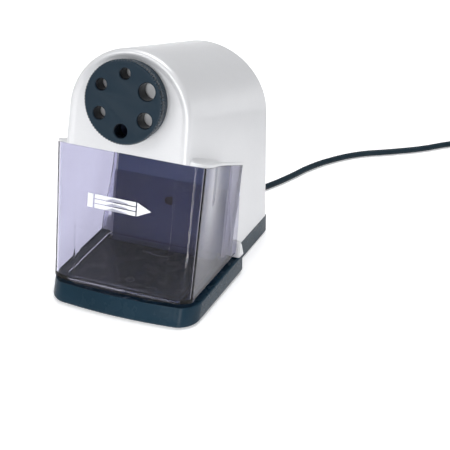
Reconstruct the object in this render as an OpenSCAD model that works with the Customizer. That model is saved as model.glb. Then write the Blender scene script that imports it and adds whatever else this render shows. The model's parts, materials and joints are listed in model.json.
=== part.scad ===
// Electric pencil sharpener with a six-hole selector dial and a clear shavings drawer.
// Z is up, the dial faces -Y, and the table is z = 0.

/* [Body] */
// Lean of the front face, backwards from the vertical, in degrees
face_tilt = 13.7; // [8:0.1:18]
// Y of the dial's axis where it meets the front face
face_y = -44.7; // [-50:0.1:-40]
// Z of the dial's axis where it meets the front face
face_z = 144.8; // [135:0.1:155]
// Half width of the front arch, which is also its radius
front_half = 43.2; // [40:0.1:46]
// How far the front arch's centre lies below the dial's axis
arch_drop = 10.5; // [6:0.1:14]
// Half width of the rear wall, which is also its arch's radius
rear_half = 46.2; // [44:0.1:49]
// Y of the rear wall
rear_y = 76; // [70:0.5:85]
// Z of the rear arch's centre
rear_arch_z = 95.5; // [85:0.5:105]
// Wall thickness of the housing
wall = 2.2; // [1.6:0.1:3]

/* [Base] */
// Height of the base's rim
base_h = 14.2; // [12:0.1:17]
// Half width of the base under the drawer
base_half = 53.6; // [52:0.1:56]
// Y of the base's bottom edge at the middle of its bowed front
base_front = -76; // [-80:0.5:-72]
// Y where the wide part of the base ends
base_step = 14.5; // [10:0.5:20]
// Height of the rubber feet below the base
foot_h = 0.8; // [0.5:0.1:2]

/* [Drawer] */
// Lean of the drawer's front wall in degrees
drawer_tilt = 11.7; // [10:0.1:13.7]
// Distance of the ledge below the dial's axis, along the front face
ledge_drop = 35.2; // [34:0.1:38]
// Fall of the ledge towards the rear, from the horizontal, in degrees
ledge_slope = 23.7; // [20:0.1:25]
// Z of the drawer walls' lower edge
drawer_low = 17.5; // [16.5:0.1:19]
// Thickness of the drawer's walls
drawer_wall = 2; // [1.5:0.1:2.5]

/* [Dial] */
// Radius of the selector dial
dial_r = 27.4; // [26:0.1:28]
// How far the dial stands out of the front face
dial_out = 11; // [9:0.1:12]
// Radius of the circle that the pencil holes lie on
hole_pitch = 18.45; // [18:0.05:19]
// Diameters of the pencil holes, from the lowest, anticlockwise from the front
hole_d = [9.6, 10.6, 12, 7.8, 8.2, 8.8];

/* [Cutters] */
// Half angle of a sharpened pencil's point
point_angle = 10.3; // [9:0.1:12]
// Radius of a helical cutter
cutter_r = 4.5; // [4:0.1:4.6]
// Depth of the pencil's tip behind the front face
tip_depth = 47.46; // [47:0.01:48]

/* [Cord] */
// Diameter of the mains lead
cord_d = 4.5; // [4:0.1:5]
// Radius of the stored coil at the middle of its turns
coil_mid = 25; // [24:0.5:28]

/* [Hidden] */
$fn = 64;
big = 300;
arch_steps = 40;

// The base and the housing
face_slope = tan(face_tilt);
bead_r = 3.2;
base_lip = 2.4;
base_floor = [foot_h, 3.4];
deck_t = 2.4;
base_rake = 4.4;
base_bow = 4.2;
base_corner = 14.5;
feet = [for (x = [-38, 38]) for (y = [-56, 62]) [x, y]];
base_bolts = [[-34, 10], [34, 10]];
shell_low = 13.8;
dial_gap = 0.4;
seat_r = 29.6;
seat_back = 3.4;
guide_r = 8;
flank_x = 43;
flank_t = 2;
flank_front = 45;
flange_t = 2;
lug_h = 9.5;
lug_front = 8.2;
lug_lean = 3.6;
// Legs of the arch reach this far below its centre, and are trimmed at the base
leg = 150;
leg_spread = 3.6;

// The drawer: its wings' ends along the ledge, its rear wall as a depth behind the face, and its pan
wing_end = 94;
drawer_back = 76.4;
bulkhead = [77, 79.5];
corner_half = 53.2;
corner_x = 19;
corner_y = 9.5;
// The drawer's sides lean outwards, from this height at the ledge's corner down
corner_z = 103;
draft = 0.03;
blend_end = 62;
flush_half = 45.7;
foot_half = 50.6;
front_bow = 1.6;
pan_half = 43;
pan_front = -66;
pan_low = 14.6;
pan_t = 1.8;
gap = 0.4;
ceiling_t = 2;
chute = [28, 32];

// The mechanism: places across the front face (x, up) and depths behind it
pencil = [0, -hole_pitch];
gear_m = 0.9;
step_m = 0.7;
ring_m = 0.8;
pinion_n = 11;
wheel_n = 36;
planet_n = 10;
ring_n = 32;
// Long wheel teeth would dig into the roots of the small pinions
wheel_tip_cut = 0.35;
idler_angle = -35;
idler = pencil + gear_m * (pinion_n + wheel_n) / 2 * [cos(idler_angle), sin(idler_angle)];
motor_angle = 209.5;
motor = idler + step_m * (pinion_n + wheel_n) / 2 * [cos(motor_angle), sin(motor_angle)];
carrier_span = [64.5, 70];
wheel_span = [72, 76];
bearing_wall = [59, 62];
plate = [80, 81.5];
core_span = [88, 112];
core_bore = 13.25;
rotor_r = 12.9;
shaft_r = 2.5;
carrier_r = 3;
running = 0.05;
planet_s = -23.64;
pin_r = 1.2;
cutter_off = cutter_r / cos(point_angle);
lever_pivot = [11, 4];
lever_ear = [5.5, 7.5];
nose_end = -15.5;

// The cord: its route from the strain relief to the coil, and the coil
cord_r = cord_d / 2;
cord_exit = [0, rear_y, 9];
relief_l = 28;
lie = cord_r + 0.05;
coil_centre = [176, 262];
coil_size = 3 * cord_d;
cord_route = [
    [0, 104, 9], [3, 115, 6.5], [10, 125, 3.5], [18, 134, lie], [25, 146, lie], [32, 162, lie],
    [40, 183, lie], [51, 202, lie], [68, 221, lie], [89, 235, lie], [110, 250, lie],
    [129, 268, lie], [150, 284, lie], [165, 290, lie], [176, 291.5, lie]
];
// From the coil's top turn down to the table, and up into the plug
tail_route = [
    [176, 291.5, 11.3], [188, 291.5, 9.4], [200, 291.5, 4.8], [209, 291.5, 2.8], [218, 289.5, 2.4],
    [226.4, 283.9, 3.4], [232, 275.5, 6.2], [234, 266, 8.6], [234, 262, 9]
];
plug_at = [234, 244];

// ---- helpers ----

// Puts its children in the leaning frame: y goes into the body, z up the front face
module face_frame() {
    translate([0, face_y, face_z]) rotate([-face_tilt, 0, 0]) children();
}

// Extrudes a drawing of the leaning frame's (x, z) between two depths
module span(depths) {
    translate([0, depths[1], 0]) rotate([90, 0, 0])
        linear_extrude(height = depths[1] - depths[0]) children();
}

// A round bar along the leaning frame's depth
module bar(at, r, depths) {
    span(depths) translate(at) circle(r = r);
}

// A tube along the leaning frame's depth
module sleeve(at, r_out, r_in, depths) {
    span(depths) translate(at) difference() {
        circle(r = r_out);
        circle(r = r_in);
    }
}

// Closed skin over rings of points that all have the same count
module loft(rings) {
    n = len(rings[0]);
    m = len(rings);
    points = [for (ring = rings) each ring];
    low = [for (i = [0:n - 1]) i];
    high = [for (i = [n - 1:-1:0]) (m - 1) * n + i];
    sides = [for (j = [0:m - 2]) for (i = [0:n - 1]) let (k = (i + 1) % n)
        each [[j * n + i, (j + 1) * n + i, j * n + k], [j * n + k, (j + 1) * n + i, (j + 1) * n + k]]];
    polyhedron(points = points, faces = concat([low], sides, [high]), convexity = 6);
}

// A point of the leaning frame, in the part's frame
function lean(x, depth, up) = [
    x,
    face_y + depth * cos(face_tilt) + up * sin(face_tilt),
    face_z - depth * sin(face_tilt) + up * cos(face_tilt)
];

// Rings of the housing: an arch on two legs, whose feet stand wider by foot
function arch(r, up, foot) = concat(
    [[-r - foot, up - leg]], [for (i = [arch_steps:-1:0]) [0, up] + polar(r, 180 * i / arch_steps)],
    [[r + foot, up - leg]]);
function front_ring(inset, depth) =
    [for (p = arch(front_half - inset, -arch_drop, leg_spread)) lean(p[0], depth, p[1])];
function rear_ring(inset, back) =
    [for (p = arch(rear_half - inset, rear_arch_z, 0)) [p[0], rear_y - back, p[1]]];

// Puts its children in the ledge's frame: y runs back along the ledge, z stands square to it
module ledge_frame() {
    face_frame() translate([0, 0, -ledge_drop]) rotate([face_tilt - ledge_slope, 0, 0]) children();
}

// Everything below the ledge
module below_ledge(lift = 0) {
    ledge_frame() translate([-big / 2, -big / 2, lift - big]) cube(big);
}

// Everything nearer than the ends of the drawer's wings, which stand square to the ledge
module before_wings(grow = 0) {
    ledge_frame() translate([-big / 2, wing_end + grow - big, -big]) cube([big, big, 2 * big]);
}

// Everything nearer than a depth behind the front face
module before(depth) {
    face_frame() translate([-big / 2, depth - big, -big]) cube([big, big, 2 * big]);
}

// Everything above a height
module above(z) {
    translate([-big / 2, -big / 2, z]) cube([big, big, big]);
}

// Involute gear: tooth 0 points along +x; slack thins each tooth, tip_cut shortens it
function inv(a) = tan(a) * 180 / PI - a;
function flank(n, m, r, slack) = let (base = m * n / 2 * cos(20))
    90 / n + inv(20) - (r > base ? inv(acos(base / r)) : 0) - slack / (m * n / 2) * 90 / PI;
function polar(r, a) = [r * cos(a), r * sin(a)];
function gear_points(n, m, slack, tip_cut) = let (
    root = m * (n / 2 - 1.25),
    tip = m * (n / 2 + 1) - tip_cut,
    radii = [for (i = [0:3]) max(root, m * n / 2 * cos(20)) * (1 - i / 3) + tip * i / 3])
    [for (t = [0:n - 1]) each concat(
        [polar(root, 360 * t / n - 180 / n)],
        [for (r = radii) polar(r, 360 * t / n - flank(n, m, r, slack))],
        [for (i = [3:-1:0]) polar(radii[i], 360 * t / n + flank(n, m, radii[i], slack))])];
module gear(n, m, slack = 0.16, tip_cut = 0.1) {
    polygon(gear_points(n, m, slack, tip_cut));
}

// ---- housing, base and chassis ----

// Bowed and rounded outline of the base's wide part
function base_outline(half, front, bow, corner) = let (
    mid = half - corner,
    side_front = front + bow)
    concat(
        [for (i = [-6:6]) let (x = mid * i / 6) [x, front + bow * pow(x / half, 2)]],
        [for (a = [-75:15:0]) [mid + corner * cos(a), side_front + corner * (1 + sin(a))]],
        [[half, base_step], [-half, base_step]],
        [for (a = [180:15:255]) [-mid + corner * cos(a), side_front + corner * (1 + sin(a))]]);
function base_ring(inset, rake, z) = [for (p = base_outline(
    base_half - inset, base_front + rake, base_bow, base_corner - inset)) [p[0], p[1], z]];

module base_solid() {
    loft([base_ring(1.2, 1, foot_h), base_ring(0, 0, 3.2), base_ring(0, base_rake, base_h)]);
    translate([-rear_half, 0, foot_h]) cube([2 * rear_half, rear_y, shell_low - foot_h]);
}

module base() {
    color([0.13, 0.18, 0.21]) difference() {
        base_solid();
        // Hollow under the deck and open behind it
        translate([-rear_half + base_lip, -62, base_floor[1]])
            cube([2 * (rear_half - base_lip), 62, base_h - deck_t - base_floor[1]]);
        translate([-rear_half + base_lip, 0, base_floor[1]])
            cube([2 * (rear_half - base_lip), rear_y - base_lip, big]);
        // Seats of the feet, screws and strain relief
        for (p = feet) translate([p[0], p[1], 0]) cylinder(r = 6.2, h = foot_h + 1.2);
        for (p = base_bolts) translate([p[0], p[1], 0]) cylinder(r = 1.7, h = 10);
        for (p = base_bolts) translate([p[0], p[1], 0]) cylinder(r = 3.4, h = 2);
        translate(cord_exit) rotate([90, 0, 0]) cylinder(r = 4.2, h = 10, center = true);
    }
}

module outer_skin() {
    loft([front_ring(bead_r, 0), front_ring(bead_r * 0.45, bead_r * 0.16),
        front_ring(bead_r * 0.12, bead_r * 0.5), front_ring(0, bead_r),
        rear_ring(0, 1.6), rear_ring(1.6, 0)]);
}

module inner_skin(inset) {
    loft([front_ring(inset, inset), rear_ring(inset, inset)]);
}

// Outline of the ledge and of the drawer's top, as (x, depth) points of the right side
function blend(d) = d < corner_y ? 1 : d > blend_end ? 0 :
    0.5 + 0.5 * cos(180 * (d - corner_y) / (blend_end - corner_y));
function side_points(half, rear, inset) = concat(
    [for (i = [0:4]) let (x = (half - corner_x) * i / 4) [x, inset + front_bow * pow(x / half, 2)]],
    [for (a = [-75:15:0]) [half - inset + (corner_x - inset) * (cos(a) - 1),
        front_bow + (corner_y - 2) * (1 + sin(a)) + inset * -sin(a)]],
    [for (d = [corner_y + 3:5:blend_end]) [rear - inset + (half - rear) * blend(d), d]],
    [[rear - inset, blend_end + 3], [rear - inset, 120]]);
function outline(half, rear, inset) = let (side = side_points(half, rear, inset))
    concat(side, [for (i = [len(side) - 1:-1:1]) [-side[i][0], side[i][1]]]);

// The space that the drawer fills: below the ledge and in front of the wings' ends
module drawer_zone(grow = 0) {
    intersection() {
        below_ledge(grow);
        before_wings(grow);
    }
}

// Flange over the drawer, before the housing is hollowed
module ledge_flange() {
    difference() {
        intersection() {
            face_frame() translate([0, 0, -90]) linear_extrude(height = 90)
                polygon(outline(corner_half, flush_half, 0));
            below_ledge(flange_t);
            before_wings();
        }
        below_ledge();
    }
}

// Recessed flanks that the drawer's wings slide over, and the strips that hold them
module flank() {
    difference() {
        ledge_frame() {
            translate([flank_x - flank_t, flank_front, -90])
                cube([flank_t, wing_end + 3 - flank_front, 93]);
            translate([flank_x - flank_t, wing_end, -90]) cube([flank_t + 1.6, 3, 93]);
            translate([flank_x - flank_t, flank_front, 0])
                cube([flank_t + 1.6, wing_end + 3 - flank_front, 3]);
        }
        translate([0, -big / 2, shell_low + 0.5 - big]) cube(big);
        // The drawer's rear wall closes in front of the flank
        intersection() {
            before(bulkhead[0]);
            below_ledge();
        }
    }
}

// Hollow shell with its flange
module shell() {
    difference() {
        union() {
            difference() {
                outer_skin();
                drawer_zone();
                translate([-big / 2, -big / 2, shell_low - big]) cube(big);
                // Clear of the rim of the base's wide part
                translate([-big / 2, base_step + gap - big, base_h + 0.1 - big]) cube(big);
            }
            ledge_flange();
        }
        inner_skin(wall);
    }
    flank();
    mirror([1, 0, 0]) flank();
}

// Lugs that close the step where the base's wide part ends
module lug() {
    loft([for (k = [0, 1]) let (taper = 2.2 * k, side = base_half - 0.6 * taper)
        [for (p = [[43.6, lug_front + lug_lean * k], [side - 1.4, lug_front + lug_lean * k],
            [side, lug_front + 1.5 + lug_lean * k], [side, base_step + 1.5 - 0.6 * k],
            [43.6, base_step + 3 - 0.6 * k]])
            [p[0], p[1], base_h + lug_h * k]]]);
}

module vents() {
    for (z = [44:8:100]) translate([-19, rear_y - 10, z]) cube([38, 20, 3]);
}

module housing() {
    color([0.84, 0.85, 0.87]) {
        difference() {
            union() {
                shell();
                face_frame() bar([0, 0], seat_r, [1.4, seat_back]);
            }
            vents();
            face_frame() {
                bar([0, 0], 8.1, [-5, 10]);
                bar(pencil, guide_r + 0.2, [-5, 10]);
            }
        }
        lug();
        mirror([1, 0, 0]) lug();
    }
}

// Ceiling over the drawer, the wall behind it and the wall that carries the shafts
module chassis() {
    color([0.18, 0.2, 0.26]) difference() {
        union() {
            intersection() {
                difference() {
                    below_ledge(gap + ceiling_t);
                    below_ledge(gap);
                    before(wall + 0.4);
                }
                before(bulkhead[1]);
                inner_skin(wall + 2.6);
            }
            difference() {
                face_frame() translate([-41, bulkhead[0], -140])
                    cube([82, bulkhead[1] - bulkhead[0], 140]);
                translate([-big / 2, -big / 2, base_floor[1] + 0.1 - big]) cube(big);
                difference() {
                    translate([-big / 2, -big / 2, 0]) cube(big);
                    below_ledge(gap + ceiling_t);
                }
            }
            face_frame() span(bearing_wall) translate([-26, -44.5]) square([56, 46.5]);
            face_frame() for (post = [[-23, -42], [-23, -2], [27, -2]])
                bar(post, 3, [bearing_wall[0], plate[0]]);
            // Foot that the base's screws hold
            translate([-40, -1, base_floor[1] + 0.1]) cube([80, 16, 6]);
        }
        // Chute below the cutters
        face_frame() translate([-chute[0] / 2, 24, -60]) cube([chute[0], chute[1], 40]);
        face_frame() bar(pencil, 5, [50, 70]);
        face_frame() bar(idler, 2, [50, 90]);
        face_frame() bar([0, -82], 3.2, [70, 90]);
        for (p = base_bolts) translate([p[0], p[1], 0]) cylinder(r = 1.3, h = 10);
    }
}

module rubber_feet() {
    color([0.07, 0.07, 0.08]) for (p = feet) translate([p[0], p[1], 0]) rotate_extrude()
        polygon([[0, 0], [5.4, 0], [6, 0.5], [6, foot_h + 1.2], [0, foot_h + 1.2]]);
}

// Countersunk screws that come up through the base into the chassis
module base_screws() {
    color([0.7, 0.7, 0.72]) for (p = base_bolts) translate([p[0], p[1], 0]) difference() {
        union() {
            translate([0, 0, foot_h + 0.2]) cylinder(r = 3.2, h = 1);
            translate([0, 0, foot_h + 0.2]) cylinder(r = 1.3, h = 9);
        }
        translate([-2, -0.4, 0]) cube([4, 0.8, foot_h + 0.8]);
        translate([-0.4, -2, 0]) cube([0.8, 4, foot_h + 0.8]);
    }
}

// ---- drawer ----

// Rings of the drawer's outer or inner skin: the top one lies high above the ledge
function drawer_ring(inset, z, half, rear) = let (
    top = lean(0, 0, -ledge_drop),
    shift = (z - top[2]) * tan(drawer_tilt))
    [for (p = outline(half, rear, inset)) [p[0], top[1] + shift + p[1], z]];
module drawer_skin(inset, low) {
    levels = [[low, foot_half], [46, 47.4], [72, flush_half], [140, flush_half]];
    loft([for (at = levels) drawer_ring(inset, at[0], corner_half - draft * (corner_z - at[0]), at[1])]);
}

module pan(inset, low) {
    back = lean(0, drawer_back, -116)[1];
    translate([inset - pan_half, pan_front + inset, low])
        cube([2 * (pan_half - inset), back - pan_front - 2 * inset, drawer_low + drawer_wall + 0.2 - low]);
}

module drawer() {
    color([0.55, 0.55, 0.66, 0.45]) difference() {
        union() {
            drawer_skin(0, drawer_low);
            pan(0, pan_low);
        }
        // Inside, in front of the rear wall
        intersection() {
            union() {
                drawer_skin(drawer_wall, drawer_low + drawer_wall);
                pan(2, pan_low + pan_t);
            }
            before(drawer_back - drawer_wall);
        }
        // Between the wings, behind the rear wall
        difference() {
            drawer_skin(drawer_wall, drawer_low - 5);
            before(drawer_back);
        }
        // Open above the rear wall, where the shavings fall in
        difference() {
            translate([-pan_half + 1, -20, 62]) cube([2 * (pan_half - 1), 80, 60]);
            before(drawer_back - 3);
        }
        difference() {
            translate([-big / 2, -big / 2, 0]) cube(big);
            below_ledge(-gap);
        }
        difference() {
            translate([-big / 2, -big / 2, 0]) cube(big);
            before_wings(-gap);
        }
    }
}

// ---- dial ----

module dial() {
    ribs = 84;
    color([0.15, 0.22, 0.28]) face_frame() difference() {
        union() {
            // Ribbed grip at the front, then a plain band
            span([-dial_out + 0.7, -dial_out + 4]) polygon([for (i = [0:2 * ribs - 1])
                polar(dial_r - (i % 2 == 0 ? 0 : 0.8), 180 * i / ribs)]);
            bar([0, 0], dial_r - 1, [-dial_out + 3.4, -dial_gap]);
            rotate([90, 0, 0]) rotate_extrude($fn = 128)
                polygon([[0, 5], [dial_r - 1, 5], [dial_r - 1, dial_out - 0.6],
                    [dial_r - 1.6, dial_out], [0, dial_out]]);
            bar([0, 0], 5, [-1, 5.6]);
        }
        for (i = [0:5]) let (at = polar(hole_pitch, 60 * i - 90)) {
            bar(at, hole_d[i] / 2, [-20, 10]);
            translate([at[0], -dial_out, at[1]]) rotate([90, 0, 0])
                cylinder(r1 = hole_d[i] / 2, r2 = hole_d[i] / 2 + 0.5, h = 0.5, center = true);
        }
        // Hollow at the back, for the click spring
        sleeve([0, 0], 10.6, 7, [-3.4, 2]);
        bar([0, 0], 1.3, [-4, 6]);
    }
}

module dial_bush() {
    color([0.86, 0.84, 0.78]) face_frame() {
        sleeve([0, 0], 8, 5 + running, [0, 4.8]);
        sleeve([0, 0], 10, 8, [seat_back, 4.8]);
    }
}

module dial_washer() {
    color([0.72, 0.72, 0.74]) face_frame() sleeve([0, 0], 9, 1.5, [5.6, 6.4]);
}

module dial_screw() {
    color([0.7, 0.7, 0.72]) face_frame() {
        bar([0, 0], 1.3, [-3, 6.4]);
        bar([0, 0], 3, [6.4, 8.2]);
    }
}

// Leaf on the housing whose bump clicks into the dial's back
module detent_spring() {
    color([0.78, 0.74, 0.6]) face_frame() {
        translate([-1.5, -0.8, -10.2]) cube([3, 0.8, 2.9]);
        translate([-1.5, -2.6, -10.2]) cube([3, 0.4, 2.9]);
        translate([-1.5, -2.6, -10.2]) cube([3, 2.6, 0.4]);
    }
}

// Tube that steadies the pencil, with ears that hold the start lever's pin
module pencil_guide() {
    color([0.2, 0.2, 0.24]) face_frame() difference() {
        union() {
            bar(pencil, guide_r, [0.2, 15.5]);
            bar(pencil, guide_r + 2.4, [seat_back + 0.1, 5.4]);
            for (x = [-lever_ear[1], lever_ear[0]]) translate([x, lever_pivot[0] - 2, -16])
                cube([lever_ear[1] - lever_ear[0], 4, 18 + lever_pivot[1]]);
        }
        bar(pencil, 6.2, [0, 20]);
        // Slot for the start lever's nose
        translate([-2.4, 9.5, pencil[1]]) cube([4.8, 8, 12]);
        bar([0, 0], 10.6, [0, 8]);
        lever_axis(0.8, 20);
    }
}

// A rod along the start lever's pivot
module lever_axis(r, length) {
    translate([-length / 2, lever_pivot[0], lever_pivot[1]]) rotate([0, 90, 0]) cylinder(r = r, h = length);
}

// ---- cutters and their drive ----

// Puts its children on a cutter's own axis, y along it; side is 1 above and -1 below
module cutter_frame(side) {
    face_frame() translate([0, tip_depth, pencil[1] + side * cutter_off])
        rotate([-side * point_angle, 0, 0]) children();
}

module cutter(side) {
    color([0.62, 0.63, 0.66]) cutter_frame(side) difference() {
        union() {
            span([planet_s - 1.5, planet_s + 1.5]) rotate(side * 90)
                gear(planet_n, ring_m, slack = 0.5, tip_cut = 0.5);
            translate([0, -1, 0]) rotate([90, 0, 0])
                linear_extrude(height = -planet_s - 2.5, twist = -150, slices = 10)
                polygon([for (i = [0:23]) polar(cutter_r - (i % 2 == 0 ? 0.05 : 0.7), 15 * i)]);
        }
        bar([0, 0], pin_r + running, [-30, 10]);
    }
}

module cutter_upper() {
    cutter(1);
}

module cutter_lower() {
    cutter(-1);
}

module cutter_pins() {
    color([0.75, 0.75, 0.77]) for (side = [-1, 1]) cutter_frame(side) bar([0, 0], pin_r, [-29.3, 3.6]);
}

module cutter_carrier() {
    color([0.55, 0.56, 0.6]) difference() {
        face_frame() {
            sleeve(pencil, 13.4, 6.4, [17.6, 20.6]);
            bar(pencil, 11.4, [48.2, 52]);
            bar(pencil, carrier_r, [52, plate[1] + 1]);
            span([20.6, 48.2]) translate(pencil) for (side = [-1, 1])
                translate([side * 9.2 - 1.7, -3]) square([3.4, 6]);
        }
        for (side = [-1, 1]) cutter_frame(side) bar([0, 0], pin_r, [-32, 6]);
    }
}

module ring_gear() {
    color([0.86, 0.84, 0.78]) face_frame() difference() {
        union() {
            bar(pencil, 16.6, [21.8, 26.4]);
            // Feet on the chassis ceiling
            for (side = [-1, 1]) span([21.8, 26.4]) translate([side * 15 - 4, -36.2]) square([8, 16]);
        }
        span([20, 28]) translate(pencil) rotate(90) gear(ring_n, ring_m, slack = -0.3, tip_cut = -0.5);
        // Shortens the teeth, because the cutters run at a slant
        bar(pencil, ring_m * (ring_n / 2 - 0.5), [20, 28]);
        below_foot();
    }
}

// Space below the top of the chassis ceiling, in the leaning frame
module below_foot() {
    translate([0, 0, gap + ceiling_t + 0.1 - ledge_drop]) rotate([face_tilt - ledge_slope, 0, 0])
        translate([-big / 2, -big / 2, -big]) cube(big);
}

module carrier_gear() {
    color([0.86, 0.84, 0.78]) face_frame() span(carrier_span) difference() {
        translate(pencil) rotate(idler_angle) gear(wheel_n, gear_m, tip_cut = wheel_tip_cut);
        translate(pencil) circle(r = carrier_r);
    }
}

module idler_gear() {
    color([0.86, 0.84, 0.78]) face_frame() difference() {
        union() {
            span([carrier_span[0], wheel_span[0]]) translate(idler)
                rotate(idler_angle + 180 + 180 / pinion_n) gear(pinion_n, gear_m);
            span(wheel_span) translate(idler) rotate(motor_angle)
                gear(wheel_n, step_m, tip_cut = wheel_tip_cut);
        }
        bar(idler, 2 + running, [60, 80]);
    }
}

module idler_axle() {
    color([0.75, 0.75, 0.77]) face_frame() bar(idler, 2, [bearing_wall[0], plate[1]]);
}

module gear_plate() {
    color([0.7, 0.71, 0.73]) face_frame() span(plate) difference() {
        translate([-26, -64]) square([56, 66]);
        translate(pencil) circle(r = 5);
        translate(idler) circle(r = 2);
        translate(motor) circle(r = 6);
        for (p = motor_bolts) translate(p) circle(r = 1.5);
    }
}

module shaft_bushes() {
    color([0.72, 0.56, 0.32]) face_frame() for (d = [bearing_wall, plate])
        sleeve(pencil, 5, carrier_r + running, d);
}

// ---- motor ----

motor_bolts = [for (x = [-18.5, 18.5]) for (z = [-15.5, 15.5]) motor + [x, z]];

module motor_core() {
    color([0.45, 0.46, 0.48]) face_frame() span(core_span) translate(motor) difference() {
        translate([-22, -34]) square([44, 53]);
        circle(r = core_bore);
        translate([-13.5, -27]) square([27, 10]);
        for (p = motor_bolts) translate(p - motor) circle(r = 1.6);
    }
}

module motor_coil() {
    color([0.7, 0.42, 0.2]) face_frame() translate([motor[0], 0, motor[1]]) difference() {
        translate([-12.6, 83, -39]) cube([25.2, 34, 20.6]);
        translate([-20, core_span[0], -34]) cube([40, core_span[1] - core_span[0], 7]);
    }
}

module rotor() {
    color([0.5, 0.51, 0.53]) face_frame() sleeve(motor, rotor_r, shaft_r, core_span);
}

module rotor_shaft() {
    color([0.78, 0.78, 0.8]) face_frame() bar(motor, shaft_r, [wheel_span[0] - 0.6, 122.5]);
}

module motor_pinion() {
    color([0.72, 0.56, 0.32]) face_frame() span(wheel_span) translate(motor) difference() {
        rotate(motor_angle + 180 + 180 / pinion_n) gear(pinion_n, step_m);
        circle(r = shaft_r);
    }
}

module motor_fan() {
    color([0.86, 0.84, 0.78]) face_frame() span([113, 116.5]) translate(motor) difference() {
        union() {
            circle(r = 5);
            for (a = [0:60:300]) rotate(a) translate([0, -0.8]) square([12.4, 1.6]);
        }
        circle(r = shaft_r);
    }
}

module motor_brackets() {
    color([0.7, 0.71, 0.73]) face_frame() for (d = [[83.2, 84.8], [118, 119.6]]) span(d) difference() {
        translate(motor) square([42, 36], center = true);
        translate(motor) circle(r = 5);
        for (p = motor_bolts) translate(p) circle(r = 1.5);
        translate(motor + [-13, -30]) square([26, 12.4]);
    }
}

module motor_bushes() {
    color([0.72, 0.56, 0.32]) face_frame() for (d = [[83.2, 84.8], [118, 119.6]])
        sleeve(motor, 5, shaft_r + running, d);
}

module motor_screws() {
    color([0.72, 0.72, 0.74]) face_frame() for (p = motor_bolts) {
        bar(p, 1.5, [plate[0], 119.6]);
        bar(p, 2.8, [119.6, 121.4]);
    }
}

module thermal_cutout() {
    color([0.85, 0.85, 0.82]) face_frame()
        translate([motor[0] - 5, 90, motor[1] - 42.1]) cube([10, 16, 3]);
}

// ---- switches ----

// Snap switch on the back of the housing's dial seat
module start_switch() {
    color([0.12, 0.12, 0.13]) face_frame() translate([-10, seat_back + 0.05, 10.2]) difference() {
        cube([20, 4.4, 8]);
        for (x = [4, 16]) translate([x, -1, 4.6]) rotate([-90, 0, 0]) cylinder(r = 1, h = 12);
    }
}

module lever_pin() {
    color([0.75, 0.75, 0.77]) face_frame() lever_axis(0.8, 2 * lever_ear[1] + 0.4);
}

// Bell crank whose nose hangs in the guide's slot and whose other arm meets the switch
module start_lever() {
    color([0.82, 0.82, 0.84]) face_frame() difference() {
        union() {
            lever_axis(1.9, 2 * lever_ear[0] - 0.4);
            translate([-1.6, lever_pivot[0] - 0.8, nose_end]) cube([3.2, 1.6, 13.4 - nose_end]);
        }
        lever_axis(0.8 + running, 20);
    }
}

module drawer_switch() {
    color([0.12, 0.12, 0.13]) face_frame() translate([-10, bulkhead[1] + 1.5, -88.4]) difference() {
        cube([20, 8, 10.2]);
        translate([10, -1, 6.4]) rotate([-90, 0, 0]) cylinder(r = 3.3, h = 6.5);
    }
}

// Pin through the chassis that the closed drawer pushes in
module switch_plunger() {
    color([0.8, 0.2, 0.15]) face_frame() bar([0, -82], 3.1, [drawer_back + 0.3, bulkhead[1] + 6]);
}

module terminal_block() {
    color([0.9, 0.9, 0.88]) translate([-14, 44, base_floor[1]]) difference() {
        cube([28, 14, 11]);
        for (x = [5, 14, 23]) translate([x, 7, 4]) cylinder(r = 2.2, h = 10);
    }
}

// ---- mains lead ----

// Smooth curve through a list of points
function curve_at(p, i, t) = let (
    a = p[max(i - 1, 0)], b = p[i], c = p[i + 1], d = p[min(i + 2, len(p) - 1)])
    0.5 * (2 * b + (c - a) * t + (2 * a - 5 * b + 4 * c - d) * t * t + (3 * b - a - 3 * c + d) * t * t * t);
function curve(p, steps) = concat(
    [for (i = [0:len(p) - 2]) for (k = [0:steps - 1]) curve_at(p, i, k / steps)], [p[len(p) - 1]]);
function unit(v) = v / norm(v);
function tube_ring(c, way, r, sides) = let (
    across = unit(cross(way, [0, 0, 1])),
    up = cross(across, way))
    [for (k = [0:sides - 1]) c + r * (cos(360 * k / sides) * across - sin(360 * k / sides) * up)];
module tube(path, r, sides) {
    n = len(path);
    loft([for (i = [0:n - 1]) let (way = path[min(i + 1, n - 1)] - path[max(i - 1, 0)])
        tube_ring(path[i], unit(way), r, sides)]);
}

module strain_relief() {
    color([0.09, 0.12, 0.14]) translate(cord_exit) rotate([-90, 0, 0]) {
        translate([0, 0, -8]) rotate_extrude()
            polygon([[0, 0], [6, 0], [6, 3], [4.2, 5], [4.2, 8], [4.6, 8],
                [4.6, 10], [3.2, 8 + relief_l], [0, 8 + relief_l]]);
    }
}

module cord() {
    color([0.14, 0.2, 0.25]) tube(curve(cord_route, 3), cord_r, 10);
}

module cord_tail() {
    color([0.14, 0.2, 0.25]) tube(curve(tail_route, 2), cord_r, 10);
}

module cord_coil() {
    color([0.14, 0.2, 0.25]) translate([coil_centre[0], coil_centre[1], 0]) rotate_extrude()
        polygon([for (a = [0:45:315]) for (s = [-1, 1]) [
            coil_mid + (abs(cos(a + s * 15)) > 0.5 ? sign(cos(a + s * 15)) : 0) * (coil_size / 2 - 1.2)
                + 1.2 * cos(a + s * 15),
            coil_size / 2 + (abs(sin(a + s * 15)) > 0.5 ? sign(sin(a + s * 15)) : 0) * (coil_size / 2 - 1.2)
                + 1.2 * sin(a + s * 15)]]);
}

module cord_tie() {
    half = coil_size / 2 + 0.9;
    color([0.08, 0.08, 0.09]) translate([coil_centre[0], coil_centre[1] - coil_mid, half]) difference() {
        translate([-3, -half, -half]) cube([6, 2 * half, 2 * half]);
        translate([-4, 0.9 - half, 0.4 - half]) cube([8, 2 * half - 1.8, 2 * half - 1.3]);
    }
}

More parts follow.
